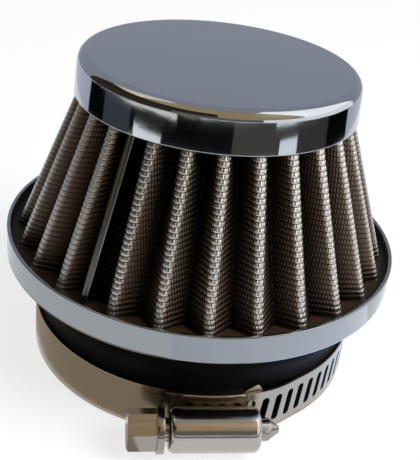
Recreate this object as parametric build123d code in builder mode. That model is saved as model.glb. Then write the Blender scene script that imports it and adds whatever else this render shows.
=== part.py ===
"""Clamp-on cone air filter with a pleated wire-cloth element.

Millimetres. The origin is the centre of the rubber neck's mouth and +Z runs up through the
filter to its cap. The clamp's worm screw lies across the front, along X on the -Y side.
An azimuth is measured from -Y towards +X.
"""

import os
from math import asin, atan2, cos, degrees, radians, sin, tan

from build123d import *

# Clearances
seat_gap = 0.05
running_gap = 0.05
bonding_gap = 0.03

# Rubber neck
neck_bore_diameter = 60.0
neck_wall = 3.8
neck_height = 21.9
neck_edge_round = 0.6
shoulder_step = 1.5
shoulder_rise = 4.0
shoulder_round = 6.0
groove_depth = 1.2
flange_grip = 2.4
flange_thickness = 1.4

# Base pan and its potting
pan_ledge = 6.7
pan_height = 6.1
pan_sheet = 0.8
pan_corner_round = 0.9
pan_rim_round = 0.25
potting_bed = 0.5
potting_cover = 1.4
potting_lip = 1.5

# Cap and its potting
cap_mouth_diameter = 56.0
cap_height = 7.9
cap_sheet = 0.7
cap_draft = 4.5
cap_edge_round = 2.0
cap_potting_bed = 1.2

# Pleated element: two wire cloths with gauze between them
mesh_height = 28.5
pleat_count = 26
pleat_depth_at_foot = 3.4
pleat_depth_at_top = 4.6
inside_fold_radius = 0.25
valley_fold_radius = 0.35
crest_gap_at_pan = 2.1
crest_gap_at_cap = 0.25
outer_cloth = 0.35
gauze = 0.30
inner_cloth = 0.30
layer_gap = 0.05

# Standing seam and its clip
seam_azimuth = -41.5
seam_step = 9.4
seam_fin_width = 0.66
seam_slit = 0.05
clip_sheet = 0.36
clip_setback = 0.2
clip_groove_width = 0.5
clip_groove_depth = 0.2
clip_corner = 0.2

# Clamp band
band_width = 9.8
band_sheet = 0.6
tail_overhang = 0.4
ramp_length = 8.5
ramp_clearance = 1.2
tongue_length = 4.0
tongue_height = 1.4
tongue_tip = 0.6
tongue_tip_offset = 0.7
seat_margin = 0.6
slot_length = 6.2
slot_width = 1.5
slot_lean = 5.0
slot_count = 27
slots_left_of_screw = 1.5

# Clamp saddle
saddle_sheet = 0.5
saddle_length = 11.8
saddle_lip = 0.35
saddle_inset = 0.05

# Clamp housing
housing_length = 17.3
housing_sheet = 0.8
housing_end_round = 1.3
housing_to_lip = 0.2

# Worm screw
worm_pitch = 3.0
thread_room = 0.35
thread_depth = 0.8
thread_half_root = 0.75
thread_crest = 0.7
thread_overlap = 0.2
worm_end_play = 0.25
band_to_worm = 0.3
journal_step = 0.2
hexagon_across_flats = 7.0
hexagon_length = 5.4
hexagon_chamfer_angle = 30.0
collar_overhang = 0.15
collar_thickness = 1.3
collar_to_housing = 0.85
pilot_length = 1.6
tip_length = 2.2
tip_diameter = 1.4

# Radii and heights that follow from the driving dimensions
bore_radius = neck_bore_diameter / 2
neck_radius = bore_radius + neck_wall
band_inset = saddle_inset + saddle_sheet + seat_gap
band_top = band_inset + band_width
clamp_seat_height = band_top + tongue_height + seat_margin
shoulder_radius = neck_radius + shoulder_step
groove_radius = neck_radius - groove_depth
flange_radius = groove_radius + flange_grip

pan_radius = neck_radius + pan_ledge
pan_inner_radius = pan_radius - pan_sheet
pan_floor = neck_height + pan_sheet
pan_rim = neck_height + pan_height
neck_top = pan_floor + flange_thickness

element_foot = neck_top + potting_bed
base_potting_top = element_foot + potting_cover

cap_mouth = pan_rim + mesh_height
cap_top = cap_mouth + cap_height
cap_mouth_radius = cap_mouth_diameter / 2
cap_ceiling = cap_top - cap_sheet
cap_wall = cap_sheet / cos(radians(cap_draft))
element_top = cap_ceiling - cap_potting_bed
cap_potting_bottom = element_top - potting_cover

crest_at_pan = pan_inner_radius - crest_gap_at_pan
crest_at_cap = cap_mouth_radius - cap_wall - crest_gap_at_cap
crest_slope = (crest_at_cap - crest_at_pan) / mesh_height

gauze_inset = outer_cloth + layer_gap
inner_cloth_inset = gauze_inset + gauze + layer_gap
element_thickness = inner_cloth_inset + inner_cloth
crest_fold_radius = element_thickness + inside_fold_radius

clip_half_gap = seam_fin_width / 2 + bonding_gap
clip_half_width = clip_half_gap + clip_sheet

band_inner_radius = neck_radius + seat_gap
band_outer_radius = band_inner_radius + band_sheet
overlap_radius = band_outer_radius + seat_gap
overlap_outer_radius = overlap_radius + band_sheet

barrel_radius = band_width / 2 - saddle_lip - housing_to_lip
barrel_inner_radius = barrel_radius - housing_sheet
worm_radius = barrel_inner_radius - thread_room
core_radius = worm_radius - thread_depth
journal_radius = core_radius - journal_step
collar_radius = barrel_radius + collar_overhang
screw_radius = overlap_outer_radius + band_to_worm + worm_radius
screw_height = band_inset + band_width / 2
screw_axis = Axis((0, -screw_radius, screw_height), (1, 0, 0))
housing_seat_radius = overlap_outer_radius + seat_gap
housing_end = housing_length / 2

saddle_angle = degrees(saddle_length / band_outer_radius)
tongue_azimuth = saddle_angle / 2 + degrees((seat_gap + tongue_length / 2) / band_inner_radius)
fixed_end_azimuth = tongue_azimuth + degrees(tongue_length / 2 / band_inner_radius)
ramp_end_azimuth = fixed_end_azimuth + degrees(ramp_clearance / band_inner_radius)
ramp_start_azimuth = ramp_end_azimuth + degrees(ramp_length / band_inner_radius)
tail_azimuth = -degrees(asin((housing_end + tail_overhang) / overlap_outer_radius))
slot_step = degrees(worm_pitch / band_outer_radius)


def at(radius, azimuth, height=0):
    """The point at a radius, azimuth and height."""
    return Vector(radius * sin(radians(azimuth)), -radius * cos(radians(azimuth)), height)


def cap_wall_radius(height):
    """Outer radius of the cap's drafted skirt at a height."""
    return cap_mouth_radius - (height - cap_mouth) * tan(radians(cap_draft))


# Pleated element

def crest_radius(height):
    """Radius of the pleats' crests, which lean in evenly from pan to cap."""
    return crest_at_pan + crest_slope * (height - pan_rim)


def pleat_depth(height):
    """Depth of the pleats, which deepen as the ring narrows."""
    share = (height - element_foot) / (element_top - element_foot)
    return pleat_depth_at_foot + share * (pleat_depth_at_top - pleat_depth_at_foot)


def fold_circles(height, inset):
    """Centre and signed radius of each fold, crests positive, in order from the seam."""
    crest = crest_radius(height)
    crest_centre = crest - crest_fold_radius
    valley_centre = crest - pleat_depth(height) + valley_fold_radius
    crest_fold = crest_fold_radius - inset
    valley_fold = -(valley_fold_radius + inset)
    step = (360 - 2 * seam_step) / (pleat_count - 1)
    first_crest = seam_azimuth + seam_step
    folds = [(at(valley_centre, seam_azimuth + seam_step / 2), valley_fold)]
    for pleat in range(pleat_count):
        azimuth = first_crest + pleat * step
        valley = azimuth + step / 2 if pleat < pleat_count - 1 else seam_azimuth - seam_step / 2
        folds.append((at(crest_centre, azimuth), crest_fold))
        folds.append((at(valley_centre, valley), valley_fold))
    return folds


def flank(fold, next_fold):
    """End points of the straight flank that is tangent to two folds."""
    centre, radius = fold
    next_centre, next_radius = next_fold
    span = next_centre - centre
    heading = atan2(span.Y, span.X) - asin((next_radius - radius) / span.length)
    left = Vector(-sin(heading), cos(heading))
    return centre - left * radius, next_centre - left * next_radius


def seam_floor(height, inset):
    """Distance from the axis to the flat between the two folds beside the seam."""
    centre, radius = fold_circles(height, inset)[0]
    return centre.dot(at(1, seam_azimuth)) + radius


def seam_point(across, out):
    """The point across and out from the axis in the seam's own directions."""
    return at(1, seam_azimuth + 90) * across + at(1, seam_azimuth) * out


def element_path(height, inset):
    """The folded line at one level, from one side of the seam round to the other."""
    folds = fold_circles(height, inset)
    flanks = [flank(fold, next_fold) for fold, next_fold in zip(folds, folds[1:])]
    outward = at(1, seam_azimuth)
    arrivals = [folds[0][0] + outward * folds[0][1]] + [end for start, end in flanks]
    departures = [start for start, end in flanks] + [folds[-1][0] + outward * folds[-1][1]]
    path = []
    for (centre, radius), arrival, departure in zip(folds, arrivals, departures):
        middle = centre + (arrival + departure - centre * 2).normalized() * abs(radius)
        path.append(ThreePointArc(arrival, middle, departure, mode=Mode.PRIVATE))
    path += [Line(start, end, mode=Mode.PRIVATE) for start, end in flanks]
    return path, arrivals[0], departures[-1]


def clip_radius(height):
    """Distance from the axis to the outer face of the seam clip."""
    return crest_radius(height) - clip_setback


def fin_radius(height):
    """Distance from the axis to the edge of the standing seam inside the clip."""
    return clip_radius(height) - clip_sheet - bonding_gap


def cloth_section(height, outer_inset, inner_inset, fin=False):
    """One level of a folded layer whose two ends meet at the seam, turned up there as a fin."""
    outer_path, outer_start, outer_end = element_path(height, outer_inset)
    inner_path, inner_start, inner_end = element_path(height, inner_inset)
    outer_floor = seam_floor(height, outer_inset)
    inner_floor = seam_floor(height, inner_inset)
    edge = fin_radius(height) if fin else outer_floor
    half_slit = seam_slit / 2
    half_fin = seam_fin_width / 2 if fin else half_slit
    with BuildSketch(Plane.XY.offset(height)) as section:
        with BuildLine():
            add(outer_path + inner_path)
            for side, outer_tip, inner_tip in [(1, outer_start, inner_start), (-1, outer_end, inner_end)]:
                ends = [outer_tip]
                if fin:
                    ends.append(seam_point(side * half_fin, outer_floor))
                    ends.append(seam_point(side * half_fin, edge))
                ends.append(seam_point(side * half_slit, edge))
                ends.append(seam_point(side * half_slit, inner_floor))
                ends.append(inner_tip)
                Polyline(*ends)
        make_face()
    return section.sketch


def room_section(height, inset, rib_half_width=0):
    """One level of a whole outline of the element, with room for the clip if asked."""
    path, start, end = element_path(height, inset)
    floor = seam_floor(height, inset)
    with BuildSketch(Plane.XY.offset(height)) as section:
        with BuildLine():
            add(path)
            if rib_half_width:
                Polyline(
                    end,
                    seam_point(-rib_half_width, floor),
                    seam_point(-rib_half_width, clip_radius(height)),
                    seam_point(rib_half_width, clip_radius(height)),
                    seam_point(rib_half_width, floor),
                    start,
                )
            else:
                Line(end, start)
        make_face()
    return section.sketch


def cloth_levels(outer_inset, inner_inset, fin=False):
    """A layer's sections at the element's foot and top."""
    return [cloth_section(level, outer_inset, inner_inset, fin) for level in (element_foot, element_top)]


def room_levels(inset, rib_half_width=0):
    """The whole outline's sections at the element's foot and top."""
    return [room_section(level, inset, rib_half_width) for level in (element_foot, element_top)]


with BuildPart() as outer_mesh:
    loft(cloth_levels(0, outer_cloth, fin=True), ruled=True)

with BuildPart() as filter_gauze:
    loft(cloth_levels(gauze_inset, gauze_inset + gauze), ruled=True)

with BuildPart() as inner_mesh:
    loft(cloth_levels(inner_cloth_inset, element_thickness), ruled=True)

# The room that the folded element and its clip take up in the potting
with BuildPart() as element_room:
    loft(room_levels(-bonding_gap, clip_half_width + bonding_gap), ruled=True)
    loft(room_levels(element_thickness + bonding_gap), ruled=True, mode=Mode.SUBTRACT)


# Seam clip

def clip_section(height):
    """One level of the folded clip: two legs round the seam and a grooved outer face."""
    face = clip_radius(height) - bonding_gap
    web = face - clip_sheet + bonding_gap
    foot = seam_floor(height, 0) + bonding_gap
    half_groove = clip_groove_width / 2
    outline = [
        (-clip_half_width, foot),
        (-clip_half_width, face - clip_corner),
        (-clip_half_width + clip_corner, face),
        (-half_groove, face),
        (0, face - clip_groove_depth),
        (half_groove, face),
        (clip_half_width - clip_corner, face),
        (clip_half_width, face - clip_corner),
        (clip_half_width, foot),
        (clip_half_gap, foot),
        (clip_half_gap, web),
        (-clip_half_gap, web),
        (-clip_half_gap, foot),
    ]
    with BuildSketch(Plane.XY.offset(height)) as section:
        with BuildLine():
            Polyline(*[seam_point(across, out) for across, out in outline], close=True)
        make_face()
    return section.sketch


with BuildPart() as seam_clip:
    loft([clip_section(element_foot), clip_section(element_top)], ruled=True)

# Cap
with BuildPart() as top_cap:
    with BuildSketch(Plane.XZ) as cap_profile:
        with BuildLine():
            Polyline(
                (0, cap_ceiling),
                (cap_wall_radius(cap_ceiling) - cap_wall, cap_ceiling),
                (cap_mouth_radius - cap_wall, cap_mouth),
                (cap_mouth_radius, cap_mouth),
                (cap_wall_radius(cap_top), cap_top),
                (0, cap_top),
                close=True,
            )
        make_face()
        outer_edge = (cap_wall_radius(cap_top), cap_top)
        fillet(cap_profile.vertices().sort_by_distance(outer_edge)[0], cap_edge_round)
        ceiling_edge = (cap_wall_radius(cap_ceiling) - cap_wall, cap_ceiling)
        fillet(cap_profile.vertices().sort_by_distance(ceiling_edge)[0], cap_edge_round - cap_sheet)
    revolve(axis=Axis.Z)

with BuildPart() as cap_potting:
    with BuildSketch(Plane.XZ) as cap_potting_profile:
        with BuildLine():
            ceiling_radius = cap_wall_radius(cap_ceiling) - cap_wall - seat_gap
            Polyline(
                (0, cap_potting_bottom),
                (cap_wall_radius(cap_potting_bottom) - cap_wall - seat_gap, cap_potting_bottom),
                (ceiling_radius, cap_ceiling),
                (0, cap_ceiling),
                close=True,
            )
        make_face()
        potting_edge = (ceiling_radius, cap_ceiling)
        fillet(cap_potting_profile.vertices().sort_by_distance(potting_edge)[0], cap_edge_round - cap_sheet)
    revolve(axis=Axis.Z)
    add(element_room.part, mode=Mode.SUBTRACT)

# Base pan
with BuildPart() as base_pan:
    with BuildSketch(Plane.XZ) as pan_profile:
        with BuildLine():
            Polyline(
                (groove_radius + seat_gap, neck_height),
                (pan_radius, neck_height),
                (pan_radius, pan_rim),
                (pan_inner_radius, pan_rim),
                (pan_inner_radius, pan_floor),
                (groove_radius + seat_gap, pan_floor),
                close=True,
            )
        make_face()
        pan_corner = (pan_radius, neck_height)
        fillet(pan_profile.vertices().sort_by_distance(pan_corner)[0], pan_corner_round)
        fillet(pan_profile.vertices().group_by(Axis.Y)[-1], pan_rim_round)
    revolve(axis=Axis.Z)

with BuildPart() as base_potting:
    with BuildSketch(Plane.XZ):
        with BuildLine():
            Polyline(
                (flange_radius + seat_gap, pan_floor),
                (pan_inner_radius - seat_gap, pan_floor),
                (pan_inner_radius - seat_gap, base_potting_top),
                (bore_radius + potting_lip, base_potting_top),
                (bore_radius + potting_lip, neck_top),
                (flange_radius + seat_gap, neck_top),
                close=True,
            )
        make_face()
    revolve(axis=Axis.Z)
    add(element_room.part, mode=Mode.SUBTRACT)

# Clamp saddle: a bent plate under the band whose edges fold over it
saddle_inner_radius = neck_radius - saddle_sheet
saddle_lip_radius = overlap_outer_radius + seat_gap
saddle_top = band_top + seat_gap + saddle_sheet


def front_plane(azimuth):
    """The upright plane through the axis at an azimuth, its x running outwards."""
    return Plane(origin=(0, 0, 0), x_dir=at(1, azimuth), z_dir=at(1, azimuth - 90))


with BuildPart() as clamp_saddle:
    with BuildSketch(front_plane(-saddle_angle / 2)):
        with BuildLine():
            Polyline(
                (saddle_inner_radius, saddle_inset),
                (saddle_lip_radius + saddle_sheet, saddle_inset),
                (saddle_lip_radius + saddle_sheet, band_inset + saddle_lip),
                (saddle_lip_radius, band_inset + saddle_lip),
                (saddle_lip_radius, band_inset - seat_gap),
                (neck_radius, band_inset - seat_gap),
                (neck_radius, band_top + seat_gap),
                (saddle_lip_radius, band_top + seat_gap),
                (saddle_lip_radius, band_top - saddle_lip),
                (saddle_lip_radius + saddle_sheet, band_top - saddle_lip),
                (saddle_lip_radius + saddle_sheet, saddle_top),
                (saddle_inner_radius, saddle_top),
                close=True,
            )
        make_face()
    revolve(axis=Axis.Z, revolution_arc=saddle_angle)

# Clamp housing: a pressed barrel with closed ends, seated on the band between the saddle's lips
with BuildPart() as clamp_housing:
    with BuildSketch(Plane.YZ.offset(-housing_end)):
        with Locations((-screw_radius, screw_height)):
            Circle(barrel_radius)
            Rectangle(screw_radius, 2 * barrel_radius, align=(Align.MIN, Align.CENTER))
    extrude(amount=housing_length)
    end_faces = clamp_housing.faces().filter_by(Axis.X)
    fillet(end_faces.edges().group_by(Axis.Y)[:-1], housing_end_round)
    with BuildSketch(Plane.YZ.offset(-housing_end + housing_sheet)):
        with Locations((-screw_radius, screw_height)):
            Circle(barrel_inner_radius)
            Rectangle(screw_radius, 2 * barrel_inner_radius, align=(Align.MIN, Align.CENTER))
    extrude(amount=housing_length - 2 * housing_sheet, mode=Mode.SUBTRACT)
    with BuildSketch(Plane.YZ.offset(-housing_end)):
        with Locations((-screw_radius, screw_height)):
            Circle(journal_radius + running_gap)
    extrude(amount=housing_length, mode=Mode.SUBTRACT)
    Cylinder(housing_seat_radius, 2 * band_top, mode=Mode.SUBTRACT)

# Worm screw, head to the left
collar_right = -housing_end - collar_to_housing
collar_left = collar_right - collar_thickness
head_end = collar_left - hexagon_length
worm_end = housing_end - housing_sheet - worm_end_play
pilot_end = housing_end + pilot_length
tip_end = pilot_end + tip_length

with BuildPart() as clamp_screw:
    with BuildSketch(Plane.XY.offset(screw_height)):
        with BuildLine():
            Polyline(*[(x, radius - screw_radius) for x, radius in [
                (collar_left, 0),
                (collar_left, collar_radius),
                (collar_right, collar_radius),
                (collar_right, journal_radius),
                (-worm_end, journal_radius),
                (-worm_end, core_radius),
                (worm_end, core_radius),
                (worm_end, journal_radius),
                (pilot_end, journal_radius),
                (tip_end, tip_diameter / 2),
                (tip_end, 0),
            ]], close=True)
        make_face()
    revolve(axis=screw_axis)
    with BuildSketch(Plane.YZ.offset(head_end)):
        with Locations((-screw_radius, screw_height)):
            RegularPolygon(hexagon_across_flats / 2, 6, major_radius=False)
    extrude(amount=hexagon_length)
    with BuildSketch(Plane.XY.offset(screw_height)):
        with BuildLine():
            flat_radius = hexagon_across_flats / 2
            corner_radius = flat_radius / cos(radians(30)) + seat_gap
            Polyline(
                (head_end, flat_radius - screw_radius),
                (head_end, corner_radius - screw_radius),
                (head_end + (corner_radius - flat_radius) * tan(radians(hexagon_chamfer_angle)),
                 corner_radius - screw_radius),
                close=True,
            )
        make_face()
    revolve(axis=screw_axis, mode=Mode.SUBTRACT)
    thread_start = Vector(-worm_end + thread_half_root, -screw_radius, screw_height)
    thread_length = 2 * (worm_end - thread_half_root)
    with BuildLine() as thread_path:
        Helix(worm_pitch, thread_length, core_radius, center=thread_start, direction=(1, 0, 0))
    with BuildSketch(Plane(thread_path.line @ 0, x_dir=(1, 0, 0), z_dir=thread_path.line % 0)):
        with BuildLine():
            Polyline(
                (-thread_half_root, -thread_overlap),
                (thread_half_root, -thread_overlap),
                (thread_crest / 2, thread_depth),
                (-thread_crest / 2, thread_depth),
                close=True,
            )
        make_face()
    sweep(path=thread_path.line, is_frenet=True)

# Clamp band: one strip, its slotted end lying over its fixed end inside the housing

def tangent_plane(radius, azimuth, height):
    """The upright plane that touches a radius at an azimuth, facing outwards."""
    return Plane(at(radius, azimuth, height), x_dir=at(1, azimuth + 90), z_dir=at(1, azimuth))


slot_planes = []
for slot in range(slot_count):
    slot_azimuth = (slot - slots_left_of_screw) * slot_step
    lies_over_fixed_end = slot_azimuth < fixed_end_azimuth
    slot_floor = overlap_radius - seat_gap / 2 if lies_over_fixed_end else neck_radius
    slot_planes.append(tangent_plane(slot_floor, slot_azimuth, screw_height))

with BuildPart() as clamp_band:
    with BuildSketch(Plane.XY.offset(band_inset)):
        with BuildLine():
            loop = 360 - (ramp_start_azimuth - fixed_end_azimuth)
            ramp_middle = (ramp_start_azimuth + ramp_end_azimuth) / 2
            for low, high in [
                (band_inner_radius, overlap_radius),
                (band_outer_radius, overlap_outer_radius),
            ]:
                CenterArc((0, 0), low, fixed_end_azimuth - 90, -loop)
                ThreePointArc(
                    at(low, ramp_start_azimuth),
                    at((low + high) / 2, ramp_middle),
                    at(high, ramp_end_azimuth),
                )
                CenterArc((0, 0), high, ramp_end_azimuth - 90, tail_azimuth - ramp_end_azimuth)
            Line(at(band_inner_radius, fixed_end_azimuth), at(band_outer_radius, fixed_end_azimuth))
            Line(at(overlap_radius, tail_azimuth), at(overlap_outer_radius, tail_azimuth))
        make_face()
    extrude(amount=band_width)
    with BuildSketch(tangent_plane(band_inner_radius, tongue_azimuth, band_top)):
        with BuildLine():
            Polyline(
                (-tongue_length / 2, 0),
                (tongue_tip_offset - tongue_tip / 2, tongue_height),
                (tongue_tip_offset + tongue_tip / 2, tongue_height),
                (tongue_length / 2, 0),
                close=True,
            )
        make_face()
    extrude(amount=band_sheet)
    with BuildSketch(*slot_planes):
        SlotOverall(slot_length, slot_width, rotation=90 - slot_lean)
    extrude(amount=screw_radius - band_outer_radius, mode=Mode.SUBTRACT)

# Rubber neck
with BuildPart() as rubber_neck:
    with BuildSketch(Plane.XZ) as neck_profile:
        with BuildLine():
            Polyline(
                (bore_radius, 0),
                (neck_radius, 0),
                (neck_radius, clamp_seat_height),
                (shoulder_radius, clamp_seat_height + shoulder_rise),
                (shoulder_radius, neck_height),
                (groove_radius, neck_height),
                (groove_radius, pan_floor),
                (flange_radius, pan_floor),
                (flange_radius, neck_top),
                (bore_radius, neck_top),
                close=True,
            )
        make_face()
        fillet(neck_profile.vertices().sort_by_distance((neck_radius, 0))[0], neck_edge_round)
        seat_edge = (neck_radius, clamp_seat_height)
        fillet(neck_profile.vertices().sort_by_distance(seat_edge)[0], shoulder_round)
        shoulder_edge = (shoulder_radius, clamp_seat_height + shoulder_rise)
        fillet(neck_profile.vertices().sort_by_distance(shoulder_edge)[0], shoulder_round)
    revolve(axis=Axis.Z)
    pocket_angle = saddle_angle + 2 * degrees(seat_gap / neck_radius)
    with BuildSketch(front_plane(-pocket_angle / 2)):
        with Locations((saddle_inner_radius - seat_gap, saddle_top + seat_gap)):
            Rectangle(neck_wall, 2 * saddle_top, align=(Align.MIN, Align.MAX))
    revolve(axis=Axis.Z, revolution_arc=pocket_angle, mode=Mode.SUBTRACT)

pieces = {
    "top_cap": top_cap,
    "cap_potting": cap_potting,
    "outer_mesh": outer_mesh,
    "filter_gauze": filter_gauze,
    "inner_mesh": inner_mesh,
    "seam_clip": seam_clip,
    "base_pan": base_pan,
    "base_potting": base_potting,
    "rubber_neck": rubber_neck,
    "clamp_band": clamp_band,
    "clamp_saddle": clamp_saddle,
    "clamp_housing": clamp_housing,
    "clamp_screw": clamp_screw,
}

os.makedirs("parts", exist_ok=True)
for name, piece in pieces.items():
    piece.part.label = name
    export_step(piece.part, f"parts/{name}.step")
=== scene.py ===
"""Looks for the clamp-on cone air filter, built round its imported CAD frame.

Sizes are in millimetres and MM turns them to metres. An azimuth is in degrees, measured from -Y
towards +X as seen from above, as in the part's source.
"""

from math import acos, asin, atan2, cos, hypot, pi, radians, sin, sqrt, tan

import bpy
import numpy as np
from mathutils import Matrix, Vector


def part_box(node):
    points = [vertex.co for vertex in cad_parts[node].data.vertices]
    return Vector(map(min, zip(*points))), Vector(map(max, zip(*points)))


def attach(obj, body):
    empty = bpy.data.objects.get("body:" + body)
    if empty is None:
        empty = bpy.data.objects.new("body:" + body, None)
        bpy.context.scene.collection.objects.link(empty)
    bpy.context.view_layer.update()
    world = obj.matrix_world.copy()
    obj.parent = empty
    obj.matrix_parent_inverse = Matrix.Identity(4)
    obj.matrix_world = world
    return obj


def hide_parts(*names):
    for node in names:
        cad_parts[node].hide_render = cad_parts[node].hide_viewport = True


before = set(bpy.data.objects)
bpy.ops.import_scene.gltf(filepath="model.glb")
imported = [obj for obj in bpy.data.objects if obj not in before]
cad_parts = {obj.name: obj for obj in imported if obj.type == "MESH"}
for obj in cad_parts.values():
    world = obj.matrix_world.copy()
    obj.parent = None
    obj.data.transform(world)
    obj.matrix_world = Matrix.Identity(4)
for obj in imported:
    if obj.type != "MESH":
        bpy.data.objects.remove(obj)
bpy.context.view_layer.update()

bpy.ops.object.select_all(action="DESELECT")

MM = 0.001
TURN_SEGMENTS = 192
ROUND_STEPS = 6
MERGE_DISTANCE = 0.004
PLACE_TOLERANCE = 0.01
CREASE_ANGLE = 35
SHARP_ANGLE = 40


def node_box(node):
    """Lowest and highest corner of a CAD node, in millimetres."""
    low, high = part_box(node)
    return low / MM, high / MM


# Sizes taken from the frame
cap_low, cap_high = node_box("top_cap")
pan_low, pan_high = node_box("base_pan")
neck_low, neck_high = node_box("rubber_neck")
cloth_low, cloth_high = node_box("outer_mesh")
potting_top = node_box("base_potting")[1].z
housing_end = node_box("clamp_housing")[1].x
element_foot = cloth_low.z
element_top = cloth_high.z
pan_rim = pan_high.z
cap_mouth = cap_low.z

# Sizes repeated from the part's source
cap_sheet = 0.7
cap_draft = 4.5
cap_edge_round = 2.0
pan_sheet = 0.8
pan_hole_radius = 32.65
pan_corner_round = 0.9
rim_round = 0.25
bore_radius = 30.0
neck_radius = 33.8
neck_edge_round = 0.6
clamp_seat_height = 12.4
shoulder_rise = 4.0
shoulder_round = 6.0
groove_radius = 32.6
flange_radius = 35.0
flange_thickness = 1.4

pleat_count = 26
pleat_depth_at_foot = 3.4
pleat_depth_at_top = 4.6
crest_at_pan = 37.6
crest_at_cap = 27.05
crest_fold_radius = 1.3
valley_fold_radius = 0.35
outer_cloth = 0.35
seam_azimuth = -41.5
seam_step = 9.4

band_width = 9.8
band_sheet = 0.6
band_inner_radius = 33.85
overlap_radius = 34.5
tail_azimuth = -14.9
ramp_end_azimuth = 18.7
ramp_start_azimuth = 33.1
tongue_start_azimuth = 9.9
fixed_end_azimuth = 16.7
tongue_height = 1.4
tongue_tip = 0.6
tongue_tip_offset = 0.7
slot_length = 6.2
slot_width = 1.5
slot_lean = 5.0
slot_count = 27
slot_step = 4.99
slots_left_of_screw = 1.5
first_slot_azimuth = -slots_left_of_screw * slot_step

barrel_radius = 4.35
barrel_sheet = 0.8
barrel_end_round = 1.3
journal_hole_radius = 2.25
housing_seat_radius = 35.15
screw_radius = 38.6
screw_height = 5.5

# Sizes of the looks alone: broken edges, and the screw as it stands in the photograph, scaled so that its
# turned collar stays inside the solid's box
band_edge_break = 0.1
housing_edge_break = 0.12
saddle_edge_break = 0.2
screw_edge_break = 0.12
clip_edge_break = 0.06
hexagon_turn = 26.0
screw_scale = 0.999


# Small tools

def linear_colour(code):
    """An sRGB hex colour as linear RGBA."""
    channels = [int(code[place:place + 2], 16) / 255 for place in (0, 2, 4)]
    return (*[c / 12.92 if c <= 0.04045 else ((c + 0.055) / 1.055) ** 2.4 for c in channels], 1.0)


def add_node(tree, kind, inputs, **settings):
    """Adds a node: settings are its properties, inputs its sockets' values or the sockets linked to them."""
    added = tree.nodes.new(kind)
    for name, value in settings.items():
        setattr(added, name, value)
    for socket, value in inputs.items():
        if isinstance(value, bpy.types.NodeSocket):
            tree.links.new(value, added.inputs[socket])
        else:
            added.inputs[socket].default_value = value
    return added


def start_material(name, **values):
    """A material with its Principled shader, set by socket name with _ for a space."""
    material = bpy.data.materials.new(name)
    material.use_nodes = True
    shader = material.node_tree.nodes["Principled BSDF"]
    for socket, value in values.items():
        shader.inputs[socket.replace("_", " ")].default_value = value
    return material, material.node_tree, shader


def finish_piece(name, material, nodes, body="filter"):
    """Names the piece that was just modelled, gives it its material and puts it in the frame."""
    piece = bpy.context.object
    piece.name = name
    piece.data.name = name
    piece.data.materials.clear()
    piece.data.materials.append(material)
    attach(piece, body)
    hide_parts(*nodes)
    piece.select_set(False)


def apply_modifier(kind, **settings):
    """Adds a modifier to the piece in hand and applies it."""
    bpy.ops.object.modifier_add(type=kind)
    modifier = bpy.context.object.modifiers[-1]
    for name, value in settings.items():
        setattr(modifier, name, value)
    bpy.ops.object.modifier_apply(modifier=modifier.name)


def close_mesh():
    """Merges doubles and turns the faces outwards, in edit mode, then goes back to object mode."""
    bpy.ops.mesh.select_all(action="SELECT")
    bpy.ops.mesh.remove_doubles(threshold=MERGE_DISTANCE * MM)
    bpy.ops.mesh.normals_make_consistent(inside=False)
    bpy.ops.object.mode_set(mode="OBJECT")


def smooth_metal():
    """Smooth shading that keeps flat faces flat and edges crisp."""
    bpy.ops.object.shade_smooth_by_angle(angle=radians(CREASE_ANGLE))
    apply_modifier("WEIGHTED_NORMAL", keep_sharp=True, weight=80)


def rounded_outline(corners, closed=True):
    """Stations (radius, height) of an outline of (radius, height, round) corners, rounds as short arcs."""
    stations = []
    for place, (radius, height, turn) in enumerate(corners):
        here = Vector((radius, height))
        is_end = not closed and place in (0, len(corners) - 1)
        if turn == 0 or is_end:
            stations.append(here)
            continue
        before = (Vector(corners[place - 1][:2]) - here).normalized()
        after = (Vector(corners[(place + 1) % len(corners)][:2]) - here).normalized()
        half_angle = before.angle(after) / 2
        centre = here + (before + after).normalized() * turn / sin(half_angle)
        start = here + before * turn / tan(half_angle) - centre
        end = here + after * turn / tan(half_angle) - centre
        for step in range(ROUND_STEPS + 1):
            stations.append(centre + start.lerp(end, step / ROUND_STEPS).normalized() * turn)
    if closed:
        stations.append(stations[0].copy())
    return stations


def turn_shell(stations):
    """A turned shell: a circle at the first station, extruded, sized and lifted to each next one."""
    radius, height = stations[0]
    bpy.ops.mesh.primitive_circle_add(vertices=TURN_SEGMENTS, radius=radius * MM, enter_editmode=True)
    bpy.ops.transform.translate(value=(0, 0, height * MM))
    for next_radius, next_height in stations[1:]:
        lift = (0, 0, (next_height - height) * MM)
        bpy.ops.mesh.extrude_edges_move(TRANSFORM_OT_translate={"value": lift})
        size = next_radius / radius
        bpy.ops.transform.resize(value=(size, size, 1), center_override=(0, 0, 0))
        radius, height = next_radius, next_height
    close_mesh()


def shaped_grid(points):
    """A primitive grid whose rows and columns are moved to an array of points in millimetres."""
    rows, columns = points.shape[:2]
    bpy.ops.mesh.primitive_grid_add(x_subdivisions=columns - 1, y_subdivisions=rows - 1, size=2)
    mesh = bpy.context.object.data
    flat = np.empty(len(mesh.vertices) * 3)
    mesh.vertices.foreach_get("co", flat)
    flat = flat.reshape(-1, 3)
    column = np.rint((flat[:, 0] + 1) / 2 * (columns - 1)).astype(int)
    row = np.rint((flat[:, 1] + 1) / 2 * (rows - 1)).astype(int)
    mesh.vertices.foreach_set("co", (points[row, column] * MM).ravel())
    mesh.update()
    return row, column


def copy_node(node):
    """A merged copy of a CAD node's mesh, in hand for finishing."""
    copy = bpy.data.objects.new(node + "_copy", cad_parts[node].data.copy())
    bpy.context.scene.collection.objects.link(copy)
    bpy.context.view_layer.objects.active = copy
    copy.select_set(True)
    bpy.ops.object.mode_set(mode="EDIT")
    close_mesh()


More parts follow.
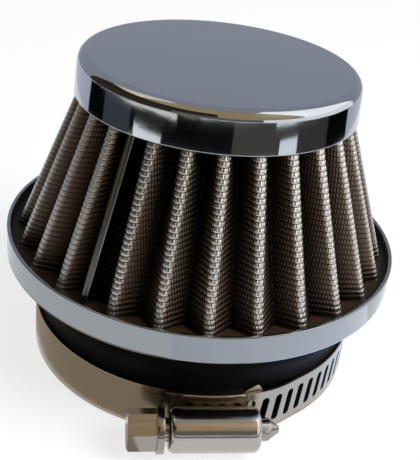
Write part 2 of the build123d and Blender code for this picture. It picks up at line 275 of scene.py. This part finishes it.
def soften_edges(width):
    """Breaks the sharp edges of the piece in hand."""
    apply_modifier(
        "BEVEL", width=width * MM, segments=2, limit_method="ANGLE", angle_limit=radians(SHARP_ANGLE),
        use_clamp_overlap=True,
    )


# Materials

def chrome_plate(name, colour):
    """Bright chrome on pressed steel: a mirror with shallow dents and a faint orange peel, in which
    reflections swim a little."""
    material, tree, shader = start_material(
        name, Metallic=1.0, Base_Color=linear_colour(colour), Roughness=0.06,
    )
    place = add_node(tree, "ShaderNodeTexCoord", {}).outputs["Object"]
    peel_size = 2.2
    peel = add_node(tree, "ShaderNodeTexNoise", {
        "Vector": place, "Scale": 1 / (peel_size * MM), "Detail": 3.0, "Roughness": 0.6,
    })
    dent_size = 9.0
    dents = add_node(tree, "ShaderNodeTexNoise", {
        "Vector": place, "Scale": 1 / (dent_size * MM), "Detail": 1.0,
    })
    waves = add_node(tree, "ShaderNodeBump", {
        "Strength": 1.0, "Distance": 0.045 * MM, "Height": dents.outputs["Fac"],
    })
    bump = add_node(tree, "ShaderNodeBump", {
        "Strength": 0.08, "Distance": 0.05 * MM,
        "Height": peel.outputs["Fac"], "Normal": waves.outputs["Normal"],
    })
    tree.links.new(bump.outputs["Normal"], shader.inputs["Normal"])
    return material


def wire_cloth():
    """Woven steel wire, coloured with painted light: a painted highlight brightens the crests of the folds,
    and painted shade, brown and dull, darkens the flanks, the valleys and the grooves between the ribs. The
    wires' knuckles are drawn coarser than real ones, so that they show."""
    material, tree, shader = start_material("wire_cloth", Metallic=1.0, Roughness=0.3)
    fold, along, rib = [
        add_node(tree, "ShaderNodeAttribute", {}, attribute_name=name).outputs["Fac"]
        for name in ("fold", "along", "rib")
    ]

    knuckle_spacing = 0.6
    rib_number = add_node(tree, "ShaderNodeMath", {0: rib}, operation="FLOOR")
    stagger = add_node(tree, "ShaderNodeMath", {0: rib_number.outputs["Value"], 1: pi}, operation="MULTIPLY")
    turn = add_node(tree, "ShaderNodeMath", {
        0: along, 1: 2 * pi / knuckle_spacing, 2: stagger.outputs["Value"],
    }, operation="MULTIPLY_ADD")
    knuckle = add_node(tree, "ShaderNodeMath", {0: turn.outputs["Value"]}, operation="SINE")
    bump = add_node(tree, "ShaderNodeBump", {
        "Strength": 0.5, "Distance": 0.08 * MM, "Height": knuckle.outputs["Value"],
    })

    rib_share = add_node(tree, "ShaderNodeMath", {0: rib}, operation="FRACT")
    rib_offset = add_node(tree, "ShaderNodeMath", {
        0: rib_share.outputs["Value"], 1: 0.5,
    }, operation="SUBTRACT")
    across = add_node(tree, "ShaderNodeMath", {0: rib_offset.outputs["Value"]}, operation="ABSOLUTE")
    # Painted shade in the grooves between the ribs: this factor falls towards each groove, where the colour
    # is mixed towards dark brown.
    ridge = add_node(tree, "ShaderNodeMapRange", {
        "Value": across.outputs["Value"], "From Min": 0.5, "From Max": 0.3, "To Min": 0.25,
    }, interpolation_type="SMOOTHSTEP")

    # Painted light by depth in the fold: a painted highlight in steel grey on the crests, then painted shade,
    # browner and darker, down the flanks into the valleys.
    wire = add_node(tree, "ShaderNodeValToRGB", {"Fac": fold})
    ramp = wire.color_ramp.elements
    painted_fold_tones = [(0.01, "c6c5c2"), (0.07, "8f867c"), (0.18, "62564a"), (0.5, "443a31"), (0.95, "1a1410")]
    while len(ramp) < len(painted_fold_tones):
        ramp.new(1.0)
    for stop, (place, colour) in zip(ramp, painted_fold_tones):
        stop.position = place
        stop.color = linear_colour(colour)
    # Painted shade: dark brown mixed in along the grooves between the ribs.
    cloth = add_node(tree, "ShaderNodeMix", {
        "Factor": ridge.outputs["Result"], 6: linear_colour("1c1510"), 7: wire.outputs["Color"],
    }, data_type="RGBA")
    tree.links.new(cloth.outputs[2], shader.inputs["Base Color"])
    tree.links.new(bump.outputs["Normal"], shader.inputs["Normal"])
    return material


def inner_wire_cloth():
    """The inner wire cloth, seen only up the bore: rows of wire as fine ridges, coarse enough to show."""
    material, tree, shader = start_material(
        "inner_wire_cloth", Metallic=0.8, Base_Color=linear_colour("8d867b"), Roughness=0.4,
    )
    place = add_node(tree, "ShaderNodeTexCoord", {}).outputs["Object"]
    wire_pitch = 0.52
    rows = add_node(tree, "ShaderNodeTexWave", {
        "Vector": place, "Scale": 1 / (20 * wire_pitch * MM), "Distortion": 0.0,
    }, bands_direction="Z")
    bump = add_node(tree, "ShaderNodeBump", {
        "Strength": 0.6, "Distance": 0.1 * MM, "Height": rows.outputs["Fac"],
    })
    tree.links.new(bump.outputs["Normal"], shader.inputs["Normal"])
    return material


def cotton_gauze():
    """Oiled cotton gauze: matt, soft brown."""
    return start_material("cotton_gauze", Base_Color=linear_colour("5b4632"), Roughness=0.9)[0]


def potting_resin():
    """Cast polyurethane: dark brown, satin, slightly uneven where it was poured."""
    material, tree, shader = start_material(
        "potting_resin", Base_Color=linear_colour("291b0f"), Roughness=0.55, Specular_IOR_Level=0.2,
    )
    place = add_node(tree, "ShaderNodeTexCoord", {}).outputs["Object"]
    pour_size = 3.0
    pour = add_node(tree, "ShaderNodeTexNoise", {"Vector": place, "Scale": 1 / (pour_size * MM)})
    bump = add_node(tree, "ShaderNodeBump", {
        "Strength": 0.3, "Distance": 0.3 * MM, "Height": pour.outputs["Fac"],
    })
    tree.links.new(bump.outputs["Normal"], shader.inputs["Normal"])
    return material


def neck_rubber():
    """Moulded nitrile rubber: black, satin, with a fine mould grain. Its base colour is darker than the
    rubber's own black: painted shade, for where it sits between the base ring and the band.
    """
    # The near-zero black base colour is partly the rubber's black and partly painted shade.
    material, tree, shader = start_material(
        "neck_rubber", Base_Color=linear_colour("020203"), Roughness=0.6, Specular_IOR_Level=0.05,
    )
    place = add_node(tree, "ShaderNodeTexCoord", {}).outputs["Object"]
    grain_size = 0.5
    grain = add_node(tree, "ShaderNodeTexNoise", {"Vector": place, "Scale": 1 / (grain_size * MM)})
    bump = add_node(tree, "ShaderNodeBump", {
        "Strength": 0.15, "Distance": 0.05 * MM, "Height": grain.outputs["Fac"],
    })
    tree.links.new(bump.outputs["Normal"], shader.inputs["Normal"])
    return material


def rolled_steel(name, colour, roughness):
    """Rolled or turned steel: a soft mirror, its gloss drawn out by fine lines along the rolling."""
    material, tree, shader = start_material(name, Metallic=1.0, Base_Color=linear_colour(colour))
    place = add_node(tree, "ShaderNodeTexCoord", {}).outputs["Object"]
    line_pitch = 0.35
    line_length = 12.0
    stretched = add_node(tree, "ShaderNodeMapping", {
        "Vector": place, "Scale": (1 / (line_length * MM), 1 / (line_length * MM), 1 / (line_pitch * MM)),
    })
    lines = add_node(tree, "ShaderNodeTexNoise", {"Vector": stretched.outputs["Vector"], "Scale": 1.0})
    gloss = add_node(tree, "ShaderNodeMapRange", {
        "Value": lines.outputs["Fac"], "To Min": roughness * 0.7, "To Max": roughness * 1.4,
    })
    bump = add_node(tree, "ShaderNodeBump", {
        "Strength": 0.1, "Distance": 0.03 * MM, "Height": lines.outputs["Fac"],
    })
    tree.links.new(gloss.outputs["Result"], shader.inputs["Roughness"])
    tree.links.new(bump.outputs["Normal"], shader.inputs["Normal"])
    return material


def folded_strip():
    """Thin bright steel strip, folded: a dark mirror with bright edges."""
    return start_material("clip_steel", Metallic=1.0, Base_Color=linear_colour("8a8885"), Roughness=0.18)[0]


cap_chrome = chrome_plate("cap_chrome", "a9aeb3")
# The pan's chrome is a darker copy of the cap's plate: its lower tone is painted shade, toning down the
# ring's mirror of the bright floor.
pan_chrome = chrome_plate("pan_chrome", "92979c")
cloth_finish = wire_cloth()
resin = potting_resin()
rubber = neck_rubber()
clip_steel = folded_strip()
# The warm tints of these steels, strongest on the band and saddle, are a painted reflection of warm
# surroundings, not the steel's own colour.
band_steel = rolled_steel("band_steel", "a39786", 0.22)
housing_steel = rolled_steel("housing_steel", "aeaaa5", 0.14)
screw_steel = rolled_steel("screw_steel", "9a958d", 0.17)


# Turned pieces

def model_cap():
    """Pressed cap: drafted skirt, rounded edge and flat top, with its sheet thickness inside."""
    pole = MERGE_DISTANCE / 4
    mouth_radius = cap_high.x
    top_radius = mouth_radius - (cap_high.z - cap_mouth) * tan(radians(cap_draft))
    wall = cap_sheet / cos(radians(cap_draft))
    ceiling = cap_high.z - cap_sheet
    ceiling_radius = top_radius - wall + cap_sheet * tan(radians(cap_draft))
    turn_shell(rounded_outline([
        (pole, cap_high.z, 0),
        (top_radius, cap_high.z, cap_edge_round),
        (mouth_radius, cap_mouth, rim_round),
        (mouth_radius - wall, cap_mouth, rim_round),
        (ceiling_radius, ceiling, cap_edge_round - cap_sheet),
        (pole, ceiling, 0),
    ], closed=False))
    smooth_metal()
    finish_piece("cap_shell", cap_chrome, ["top_cap"])


def model_pan():
    """Base pan: a shallow channel with a rounded corner, a broken rim and a hole for the neck."""
    turn_shell(rounded_outline([
        (pan_hole_radius, pan_low.z, 0),
        (pan_high.x, pan_low.z, pan_corner_round),
        (pan_high.x, pan_rim, rim_round),
        (pan_high.x - pan_sheet, pan_rim, rim_round),
        (pan_high.x - pan_sheet, pan_low.z + pan_sheet, rim_round),
        (pan_hole_radius, pan_low.z + pan_sheet, 0),
    ]))
    smooth_metal()
    finish_piece("pan_ring", pan_chrome, ["base_pan"])


def model_neck():
    """Rubber neck: plain seat for the clamp, a soft shoulder and a flange above the pan's floor."""
    shoulder_radius = neck_high.x
    flange_foot = neck_high.z - flange_thickness
    turn_shell(rounded_outline([
        (bore_radius, neck_low.z, neck_edge_round),
        (neck_radius, neck_low.z, neck_edge_round),
        (neck_radius, clamp_seat_height, shoulder_round),
        (shoulder_radius, clamp_seat_height + shoulder_rise, shoulder_round),
        (shoulder_radius, pan_low.z, 0),
        (groove_radius, pan_low.z, 0),
        (groove_radius, flange_foot, 0),
        (flange_radius, flange_foot, 0),
        (flange_radius, neck_high.z, 0),
        (bore_radius, neck_high.z, neck_edge_round),
    ]))
    bpy.ops.object.shade_smooth_by_angle(angle=radians(CREASE_ANGLE))
    finish_piece("neck_sleeve", rubber, ["rubber_neck"])


# Outer wire cloth

crest_columns = 12
flank_columns = 5
valley_columns = 2
half_seam_columns = 3
pleat_columns = crest_columns + 2 * flank_columns + valley_columns
rib_pitch = 1.03
rib_rows = 6
rib_depth = 0.11


def at(radius, azimuth):
    """The point at a radius and azimuth, as a plan vector."""
    return Vector((radius * sin(radians(azimuth)), -radius * cos(radians(azimuth))))


def crest_radius(height):
    """Radius of the pleats' crests at a height."""
    return crest_at_pan + (crest_at_cap - crest_at_pan) * (height - pan_rim) / (cap_mouth - pan_rim)


def pleat_depth(height):
    """Depth of the pleats, which deepen as the ring narrows."""
    share = (height - element_foot) / (element_top - element_foot)
    return pleat_depth_at_foot + share * (pleat_depth_at_top - pleat_depth_at_foot)


def fold_circles(height, inset):
    """Centre and signed radius of each fold, crests positive, in order from the seam."""
    crest_centre = crest_radius(height) - crest_fold_radius
    valley_centre = crest_radius(height) - pleat_depth(height) + valley_fold_radius
    step = (360 - 2 * seam_step) / (pleat_count - 1)
    folds = [(at(valley_centre, seam_azimuth + seam_step / 2), -valley_fold_radius - inset)]
    for pleat in range(pleat_count):
        azimuth = seam_azimuth + seam_step + pleat * step
        valley = azimuth + step / 2 if pleat < pleat_count - 1 else seam_azimuth - seam_step / 2
        folds.append((at(crest_centre, azimuth), crest_fold_radius - inset))
        folds.append((at(valley_centre, valley), -valley_fold_radius - inset))
    return folds


def flank(fold, next_fold):
    """End points of the straight flank that is tangent to two folds."""
    (centre, radius), (next_centre, next_radius) = fold, next_fold
    span = next_centre - centre
    heading = atan2(span.y, span.x) - asin((next_radius - radius) / span.length)
    left = Vector((-sin(heading), cos(heading)))
    return centre - left * radius, next_centre - left * next_radius


def folded_line(height, inset):
    """Points of the folded cloth at one level, evenly spaced along each fold and flank."""
    folds = fold_circles(height, inset)
    flanks = [flank(fold, next_fold) for fold, next_fold in zip(folds, folds[1:])]
    outward = at(1, seam_azimuth)
    floor = folds[0][0].dot(outward) + folds[0][1]
    arrivals = [folds[0][0] + outward * folds[0][1]] + [end for start, end in flanks]
    departures = [start for start, end in flanks] + [folds[-1][0] + outward * folds[-1][1]]
    points = []

    def run(start, end, steps, centre=None):
        for step in range(steps):
            if centre is None:
                points.append(start.lerp(end, step / steps))
            else:
                arm = start - centre
                points.append(centre + arm.slerp(end - centre, step / steps) * arm.length)

    run(outward * floor, arrivals[0], half_seam_columns)
    for place, (centre, radius) in enumerate(folds):
        run(arrivals[place], departures[place], crest_columns if radius > 0 else valley_columns, centre)
        if place < len(flanks):
            run(*flanks[place], flank_columns)
    run(departures[-1], outward * floor, half_seam_columns)
    points.append(outward * floor)
    return np.array([tuple(point) for point in points])


def cloth_rows():
    """Heights of the cloth's rows, and how many ribs lie below each."""
    slant = hypot(1, (crest_at_cap - crest_at_pan) / (cap_mouth - pan_rim))
    hidden = 0.6
    ribs = round((cap_mouth - potting_top + 2 * hidden) * slant / rib_pitch)
    ribbed = np.linspace(potting_top - hidden, cap_mouth + hidden, ribs * rib_rows + 1)
    heights = np.concatenate([[element_foot], ribbed, [element_top]])
    ribs_below = np.concatenate([[0], np.arange(ribs * rib_rows + 1) / rib_rows, [ribs]])
    return heights, ribs_below


def model_cloth_half(name, first, last):
    """One half of the folded cloth: a grid folded into pleats and ribbed where thick wires run across, with a
    plain inner face."""
    heights, ribs_below = cloth_rows()
    share = ((heights - element_foot) / (element_top - element_foot))[:, None, None]

    def folded_sheet(inset):
        return folded_line(element_foot, inset) * (1 - share) + folded_line(element_top, inset) * share

    outer = folded_sheet(0)
    forward = np.gradient(outer, axis=1)
    normal = np.stack([forward[..., 1], -forward[..., 0]], axis=-1)
    normal /= np.linalg.norm(normal, axis=-1, keepdims=True)
    across_rib = 2 * (ribs_below % 1) - 1
    roundness = 0.88
    groove = sqrt(1 - roundness ** 2)
    ridge = (np.sqrt(1 - (roundness * across_rib) ** 2) - groove) / (1 - groove)
    outer = outer + normal * (rib_depth * ridge)[:, None, None]
    crest = np.array([crest_radius(height) for height in heights])[:, None]
    depth = np.array([pleat_depth(height) for height in heights])[:, None]
    # How deep each point lies in its fold, 0 on the crest and 1 in the valley; the wire cloth's material
    # paints highlight and shade from it.
    fold = np.clip((crest - np.linalg.norm(outer, axis=-1)) / depth, 0, 1)
    steps = np.linalg.norm(np.diff(outer, axis=1), axis=-1)
    along = np.concatenate([np.zeros((len(heights), 1)), np.cumsum(steps, axis=1)], axis=1)

    crest_start = valley_columns + flank_columns
    crest_marks = range(crest_start, crest_start + crest_columns + 1, crest_columns // 4)
    fold_marks = [*range(valley_columns + 1), *crest_marks]
    inner_columns = [
        column for column in range(last, first - 1, -1)
        if column in (first, last) or (column - half_seam_columns) % pleat_columns in fold_marks
    ]
    inner = folded_sheet(outer_cloth)[:, inner_columns]
    inner[[0, -1]] = outer[[0, -1]][:, inner_columns]
    plan = np.concatenate([outer[:, first:last + 1], inner, outer[:, first:first + 1]], axis=1)
    levels = np.broadcast_to(heights[:, None, None], plan.shape[:2] + (1,))
    row, column = shaped_grid(np.concatenate([plan, levels], axis=2))

    mesh = bpy.context.object.data
    ribs = np.broadcast_to(ribs_below[:, None], fold.shape)
    for attribute, values in [("fold", fold), ("along", along), ("rib", ribs)]:
        sheet = np.zeros(plan.shape[:2])
        sheet[:, :last - first + 1] = values[:, first:last + 1]
        sheet[:, -1] = values[:, first]
        mesh.attributes.new(attribute, "FLOAT", "POINT").data.foreach_set("value", sheet[row, column])
    bpy.ops.object.mode_set(mode="EDIT")
    close_mesh()
    bpy.ops.object.shade_smooth()
    finish_piece(name, cloth_finish, ["outer_mesh"])


def model_cloth():
    """The folded cloth in two halves that meet at the seam and in a valley opposite."""
    columns = len(folded_line(element_foot, 0)) - 1
    half = half_seam_columns + valley_columns // 2 + pleat_columns * pleat_count // 2
    model_cloth_half("outer_cloth_right", 0, half)
    model_cloth_half("outer_cloth_left", half, columns)


# Clamp

def band_radius(azimuth):
    """Inner radius of the band, which ramps from its outer layer down to the neck."""
    share = (azimuth - ramp_end_azimuth) / (ramp_start_azimuth - ramp_end_azimuth)
    share = min(1, max(0, share))
    return overlap_radius + (band_inner_radius - overlap_radius) * share * share * (3 - 2 * share)


def select_edges(is_wanted):
    """Selects the flat strip's edges with both ends wanted, by their azimuth and height, in edit mode."""
    bpy.ops.mesh.select_all(action="DESELECT")
    bpy.ops.object.mode_set(mode="OBJECT")
    mesh = bpy.context.object.data
    for edge in mesh.edges:
        ends = [mesh.vertices[place].co / MM for place in edge.vertices]
        edge.select = all(is_wanted(end.x, end.y) for end in ends)
    bpy.ops.object.mode_set(mode="EDIT")


def select_border(border):
    """Selects the flat strip's border at an azimuth."""
    select_edges(lambda azimuth, height: abs(azimuth - border) < PLACE_TOLERANCE)


def select_top_edge(start, end):
    """Selects the flat strip's top edge between two azimuths."""
    low = start - PLACE_TOLERANCE
    high = end + PLACE_TOLERANCE
    top = screw_height + band_width / 2 - PLACE_TOLERANCE
    select_edges(lambda azimuth, height: low < azimuth < high and height > top)


def model_band():
    """Clamp band: one slotted cell is drawn flat and repeated, plain ends are drawn out, and the strip is
    rolled. While it is flat, a millimetre along X stands for a degree of azimuth."""
    degree = radians(band_inner_radius + band_sheet)
    half_cell = slot_step / 2
    half_width = band_width / 2
    slot_end = slot_length / 2 - slot_width / 2
    arc_points = 9
    bpy.ops.mesh.primitive_circle_add(vertices=2 * arc_points, radius=MM, enter_editmode=True)
    bpy.ops.mesh.select_mode(type="EDGE")
    bpy.ops.mesh.extrude_edges_move()
    bpy.ops.object.mode_set(mode="OBJECT")
    mesh = bpy.context.object.data
    edge_shares = [1, 1, 0.6, 0.3, 0, -0.3, -0.6, -1, -1]
    for vertex in mesh.vertices:
        ring, place = divmod(vertex.index, 2 * arc_points)
        side = 1 if place < arc_points else -1
        turn = pi * (place % arc_points) / (arc_points - 1)
        if ring == 0:
            across = side * slot_width / 2 * cos(turn)
            up = side * (slot_end + slot_width / 2 * sin(turn))
            lean = radians(slot_lean)
            across, up = across * cos(lean) + up * sin(lean), up * cos(lean) - across * sin(lean)
            across /= degree
        else:
            across = side * half_cell * edge_shares[place % arc_points]
            up = side * (slot_end if place % arc_points in (0, arc_points - 1) else half_width)
        vertex.co = (Vector((first_slot_azimuth + across, screw_height + up, 0))) * MM
    bpy.ops.object.mode_set(mode="EDIT")
    bpy.ops.mesh.select_all(action="SELECT")
    for copy in range(slot_count - 1):
        bpy.ops.mesh.duplicate_move(TRANSFORM_OT_translate={"value": (slot_step * MM, 0, 0)})
    bpy.ops.mesh.select_all(action="SELECT")
    bpy.ops.mesh.remove_doubles(threshold=MERGE_DISTANCE * MM)
    first_border = first_slot_azimuth - half_cell
    last_border = first_slot_azimuth + (slot_count - 0.5) * slot_step
    select_border(first_border)
    tail_step = (tail_azimuth - first_border) * MM
    bpy.ops.mesh.extrude_edges_move(TRANSFORM_OT_translate={"value": (tail_step, 0, 0)})
    select_border(last_border)
    plain_steps = 90
    plain_step = (360 + tongue_start_azimuth - last_border) / plain_steps
    tongue_step = fixed_end_azimuth - tongue_start_azimuth
    for step in [plain_step] * plain_steps + [tongue_step]:
        bpy.ops.mesh.extrude_edges_move(TRANSFORM_OT_translate={"value": (step * MM, 0, 0)})
    select_top_edge(360 + tongue_start_azimuth, 360 + fixed_end_azimuth)
    bpy.ops.mesh.extrude_edges_move(TRANSFORM_OT_translate={
        "value": (tongue_tip_offset / degree * MM, tongue_height * MM, 0),
    })
    tip = (360 + (tongue_start_azimuth + fixed_end_azimuth) / 2 + tongue_tip_offset / degree) * MM
    slimming = tongue_tip / degree / tongue_step
    bpy.ops.transform.resize(value=(slimming, 1, 1), center_override=(tip, 0, 0))
    bpy.ops.mesh.select_all(action="SELECT")
    bpy.ops.mesh.normals_make_consistent(inside=False)
    bpy.ops.object.mode_set(mode="OBJECT")
    for vertex in mesh.vertices:
        azimuth, height, _ = vertex.co / MM
        vertex.co = Vector((*at(band_radius(azimuth), azimuth), height)) * MM
    outwards = 1 if mesh.polygons[0].normal.y < 0 else -1
    apply_modifier("SOLIDIFY", thickness=band_sheet * MM, offset=outwards)
    soften_edges(band_edge_break)
    smooth_metal()
    finish_piece("band_strip", band_steel, ["clamp_band"])


def model_housing():
    """Worm housing: a pressed barrel with rounded, pierced ends, its foot lying along the band."""
    stations = [(-housing_end, journal_hole_radius)]
    for step in range(ROUND_STEPS + 1):
        turn = pi / 2 * step / ROUND_STEPS
        stations.append((
            -housing_end + barrel_end_round * (1 - cos(turn)),
            barrel_radius - barrel_end_round * (1 - sin(turn)),
        ))
    straight_steps = 12
    first = stations[-1][0]
    for step in range(1, straight_steps):
        stations.append((first - 2 * first * step / straight_steps, barrel_radius))
    stations += [(-x, radius) for x, radius in reversed(stations[:ROUND_STEPS + 2])]
    around = 48
    points = np.zeros((around + 1, len(stations), 3))
    for column, (x, radius) in enumerate(stations):
        drop = screw_radius - sqrt(housing_seat_radius ** 2 - x ** 2)
        reach = pi if drop >= radius else pi - acos(drop / radius)
        for row in range(around + 1):
            turn = reach * (2 * row / around - 1)
            points[row, column] = (
                x,
                -screw_radius - radius * cos(turn),
                screw_height + radius * sin(turn),
            )
    shaped_grid(points)
    bpy.ops.object.mode_set(mode="EDIT")
    close_mesh()
    mesh = bpy.context.object.data
    outer = max(mesh.polygons, key=lambda face: -face.center.y)
    inwards = -1 if outer.normal.y < 0 else 1
    apply_modifier("SOLIDIFY", thickness=barrel_sheet * MM, offset=inwards)
    soften_edges(housing_edge_break)
    smooth_metal()
    finish_piece("worm_housing", housing_steel, ["clamp_housing"])


def model_small_steel():
    """Saddle, worm screw and seam clip: the CAD forms with their edges broken."""
    copy_node("clamp_saddle")
    soften_edges(saddle_edge_break)
    smooth_metal()
    finish_piece("saddle_plate", band_steel, ["clamp_saddle"])
    copy_node("clamp_screw")
    axis = Matrix.Translation(Vector((0, -screw_radius, screw_height)) * MM)
    turned_up = Matrix.Rotation(radians(-hexagon_turn), 4, "X") @ Matrix.Scale(screw_scale, 4)
    bpy.context.object.data.transform(axis @ turned_up @ axis.inverted())
    soften_edges(screw_edge_break)
    smooth_metal()
    finish_piece("worm_screw", screw_steel, ["clamp_screw"], body="screw")
    copy_node("seam_clip")
    soften_edges(clip_edge_break)
    smooth_metal()
    finish_piece("seam_strip", clip_steel, ["seam_clip"])


def dress_nodes():
    """Finishes for the CAD nodes that keep their own mesh."""
    for node, material in [
        ("base_potting", resin),
        ("cap_potting", resin),
        ("filter_gauze", cotton_gauze()),
        ("inner_mesh", inner_wire_cloth()),
    ]:
        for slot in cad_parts[node].material_slots:
            slot.material = material


model_cap()
model_pan()
model_neck()
model_cloth()
model_band()
model_housing()
model_small_steel()
dress_nodes()


# Studio

def card_glow(name, colour, strength):
    """A plain glow for a card, with no gloss of its own."""
    return start_material(
        name, Base_Color=linear_colour("000000"), Roughness=0.9, Specular_IOR_Level=0.0,
        Emission_Color=linear_colour(colour), Emission_Strength=strength,
    )[0]


def floor_paper():
    """Matt white paper that shows white to the camera and in the metal, and keeps a light shadow."""
    material, tree, shader = start_material("floor_paper", Base_Color=linear_colour("fafafa"), Roughness=0.9)
    ray = add_node(tree, "ShaderNodeLightPath", {}).outputs
    direct = add_node(tree, "ShaderNodeMath", {
        0: ray["Is Camera Ray"], 1: ray["Is Glossy Ray"],
    }, operation="ADD")
    seen = add_node(tree, "ShaderNodeMath", {
        0: direct.outputs["Value"], 1: ray["Is Transmission Ray"],
    }, operation="ADD", use_clamp=True)
    white_share = 0.75
    share = add_node(tree, "ShaderNodeMath", {
        0: seen.outputs["Value"], 1: white_share,
    }, operation="MULTIPLY")
    white = add_node(tree, "ShaderNodeEmission", {"Color": linear_colour("ffffff"), "Strength": 1.0})
    paper = add_node(tree, "ShaderNodeMixShader", {
        0: share.outputs["Value"], 1: shader.outputs["BSDF"], 2: white.outputs["Emission"],
    })
    tree.links.new(paper.outputs["Shader"], tree.nodes["Material Output"].inputs["Surface"])
    return material


def lay_floor():
    """A large pale floor."""
    bpy.ops.mesh.primitive_plane_add(size=6)
    floor = bpy.context.object
    floor.name = "studio_floor"
    floor.data.materials.append(floor_paper())
    floor.select_set(False)


def stand_card(name, colour, strength, start, end, bottom, top, radius=190, rise=0, lean=0):
    """A curved card between two azimuths, seen only in the metal's reflections. It rises along its length and
    leans outwards by the millimetres given."""
    steps = 12
    shares = np.linspace(0, 1, steps + 1)
    points = np.array([
        [(*at(reach, start + (end - start) * share), height + rise * share) for share in shares]
        for reach, height in ((radius, bottom), (radius + lean, top))
    ])
    shaped_grid(points)
    card = bpy.context.object
    card.name = name
    card.data.materials.append(card_glow(name, colour, strength))
    card.visible_camera = False
    card.visible_diffuse = False
    card.visible_shadow = False
    card.select_set(False)


def stand_low_cards():
    """Dark flags with grey and white patches, at the height that the cap's side mirrors."""
    foot, front_foot, flag_top, strip_top = 0.5, 10, 29, 40
    for name, colour, start, end, bottom in [
        ("flag_left", "08080a", -118, -98, foot),
        ("grey_left", "4a5056", -98, -72, foot),
        ("flag_front", "050506", -72, 4, front_foot),
        ("grey_right", "58544f", 4, 36, front_foot),
        ("grey_far_right", "4a4744", 36, 80, foot),
        ("flag_right", "08080a", 80, 106, foot),
        ("sky_back", "d3d9e6", 106, 242, foot),
    ]:
        stand_card(name, colour, 1.0, start, end, bottom, flag_top)
    patch_radius = 187
    patch_strength = 1.5
    for name, colour, start, end, bottom, top in [
        ("patch_left", "ffffff", -68, -46, 7, 16.5),
        ("patch_right", "f4f8ff", 38, 52, 6, 18),
        ("streak_right", "f4f8ff", 34, 70, 25, 29),
    ]:
        stand_card(name, colour, patch_strength, start, end, bottom, top, patch_radius)
    stand_card("streak_left", "fffaf0", patch_strength, -104, -36, 21, 24, patch_radius, rise=5)
    stand_card("horizon_left", "b9b2a6", 1.0, -110, -20, flag_top, strip_top)
    stand_card("horizon_right", "ffffff", 1.2, -20, 110, flag_top, strip_top)


def stand_high_cards():
    """Soft tones above the low cards, for the cloth's crests, the cap's round edge and the clamp."""
    tone_foot, tone_top, gold_foot, sky = 40, 110, 220, 620
    for name, colour, strength, start, end, bottom, top in [
        ("low_tone_left", "433d34", 1.0, -118, -40, tone_foot, tone_top),
        ("low_tone_front", "7d776f", 1.0, -40, 24, tone_foot, tone_top),
        ("low_tone_right", "ffffff", 1.45, 24, 110, tone_foot, tone_top),
        ("low_tone_back", "aaafbb", 1.0, 110, 242, tone_foot, tone_top),
        ("umber_front", "3f3226", 1.0, -118, -8, tone_top, gold_foot),
        ("tone_left", "f3e8d2", 1.0, -118, -104, gold_foot, sky),
        ("window_left", "fff6e4", 1.3, -104, -78, gold_foot, sky),
        ("gold_front", "cbb189", 1.0, -78, -8, gold_foot, sky),
        ("tone_front", "c4ab86", 1.0, -8, 58, tone_top, sky),
        ("tone_right", "ffffff", 1.8, 58, 110, tone_top, sky),
        ("tone_back", "aaafbb", 1.0, 110, 242, tone_top, sky),
    ]:
        stand_card(name, colour, strength, start, end, bottom, top)


def lay_floor_cards():
    """Sheets on the floor: warm and cool ones that the band mirrors, and a row for the base ring that grows
    brighter to the right."""
    height = 0.3
    inner_radius, middle_radius = 35.6, 59.6
    inner_width, outer_width = 24, 60
    for name, colour, strength, start, end in [
        ("warm_table", "b3a99d", 1.0, -115, -17),
        ("cool_table", "d2e2ff", 1.6, 22, 115),
    ]:
        stand_card(name, colour, strength, start, end, height, height, inner_radius, lean=inner_width)
    ring_sheets = 24
    sheet_arc = 4
    first_azimuth = -16
    brightening = 0.022
    for sheet in range(ring_sheets):
        start = first_azimuth + sheet_arc * sheet
        stand_card(
            f"ring_table_{sheet}", "f4f8ff", 1 + brightening * sheet, start, start + sheet_arc,
            height, height, middle_radius, lean=outer_width,
        )


def light_studio():
    """Soft daylight all round and one large lamp from the right."""
    world = bpy.data.worlds.new("studio")
    bpy.context.scene.world = world
    world.use_nodes = True
    sky = world.node_tree.nodes["Background"].inputs
    sky["Color"].default_value = linear_colour("ffffff")
    sky["Strength"].default_value = 0.42
    lamp = bpy.data.lights.new("key_lamp", "AREA")
    lamp.shape = "SQUARE"
    lamp.size = 0.5
    lamp.energy = 10
    key = bpy.data.objects.new("key_lamp", lamp)
    key.location = (0.55, -0.35, 0.7)
    target = Vector((0, 0, 0.03))
    key.rotation_euler = (target - key.location).to_track_quat("-Z", "Y").to_euler()
    bpy.context.scene.collection.objects.link(key)


def set_camera():
    """The camera of the photograph: above the front, turned a little left, and rolled."""
    camera = bpy.data.cameras.new("photo_camera")
    camera.lens = 66.2
    camera.sensor_width = 36
    camera.clip_start = 0.01
    eye = bpy.data.objects.new("photo_camera", camera)
    place = Vector((-27.50, -155.98, 114.23)) * MM
    target = Vector((1.81, -0.32, 26.65)) * MM
    roll = 7.23
    aim = (target - place).to_track_quat("-Z", "Y").to_matrix().to_4x4()
    eye.matrix_world = Matrix.Translation(place) @ aim @ Matrix.Rotation(radians(roll), 4, "Z")
    bpy.context.scene.collection.objects.link(eye)
    bpy.context.scene.camera = eye


lay_floor()
stand_low_cards()
stand_high_cards()
lay_floor_cards()
light_studio()
set_camera()
bpy.context.scene.view_settings.view_transform = "Standard"
